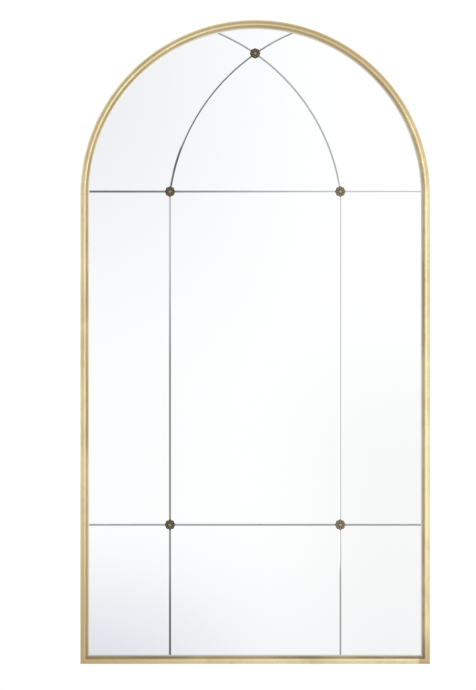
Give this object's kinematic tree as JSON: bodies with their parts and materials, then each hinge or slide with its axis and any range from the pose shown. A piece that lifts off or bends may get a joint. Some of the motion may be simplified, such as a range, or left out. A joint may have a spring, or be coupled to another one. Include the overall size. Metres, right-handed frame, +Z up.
{
  "type": "arched wall mirror",
  "caption": "Tall round-arched window-pane wall mirror: narrow gilt moulding, mirror panes split by crossing tracery seams, bronze rosettes at the crossings, ring hangers behind.",
  "frame": {"origin": "on the wall plane and the mirror's centreline, level with the two wall hooks, 1.4 m over the bottom edge", "axes": "+Z up along the mirror, +Y into the wall, +X to the right as seen from the front, which faces -Y"},
  "size_m": [0.98, 0.037, 1.8049],
  "materials": {
    "gilt_wood": "worn antique gold leaf over a wood moulding",
    "mirror_glass": "silvered float glass with ground edges",
    "dark_bronze": "cast, dark antique bronze, rubbed on the high spots",
    "backing_board": "plain fibreboard",
    "foam_tape": "double-sided foam tape",
    "black_rubber": "matt black rubber",
    "zinc_steel": "zinc-plated steel"
  },
  "bodies": {
    "mirror": {"frame_arch": "gilt_wood", "frame_left_stile": "gilt_wood", "frame_right_stile": "gilt_wood", "frame_bottom_rail": "gilt_wood", "pane_lower_left": "mirror_glass", "pane_lower_centre": "mirror_glass", "pane_lower_right": "mirror_glass", "pane_middle_left": "mirror_glass", "pane_middle_centre": "mirror_glass", "pane_middle_right": "mirror_glass", "pane_arch_left": "mirror_glass", "pane_arch_centre": "mirror_glass", "pane_arch_right": "mirror_glass", "pane_arch_crown": "mirror_glass", "rosettes": "dark_bronze", "backing_board": "backing_board", "mirror_tape": "foam_tape", "setting_blocks": "black_rubber", "glazing_points": "zinc_steel", "hanger_strap_left": "zinc_steel", "hanger_strap_right": "zinc_steel", "hanger_screws": "zinc_steel", "wall_bumpers": "black_rubber"},
    "left_ring": {"hanger_ring_left": "zinc_steel"},
    "right_ring": {"hanger_ring_right": "zinc_steel"}
  },
  "joints": [
    {"name": "left_ring_swing", "type": "hinge", "parent": "mirror", "child": "left_ring", "pos_m": [-0.35, -0.00872, -0.0203], "axis": [1, 0, 0], "range_deg": [0, 174.5]},
    {"name": "right_ring_swing", "type": "hinge", "parent": "mirror", "child": "right_ring", "pos_m": [0.35, -0.00872, -0.0203], "axis": [1, 0, 0], "range_deg": [0, 174.5]}
  ]
}
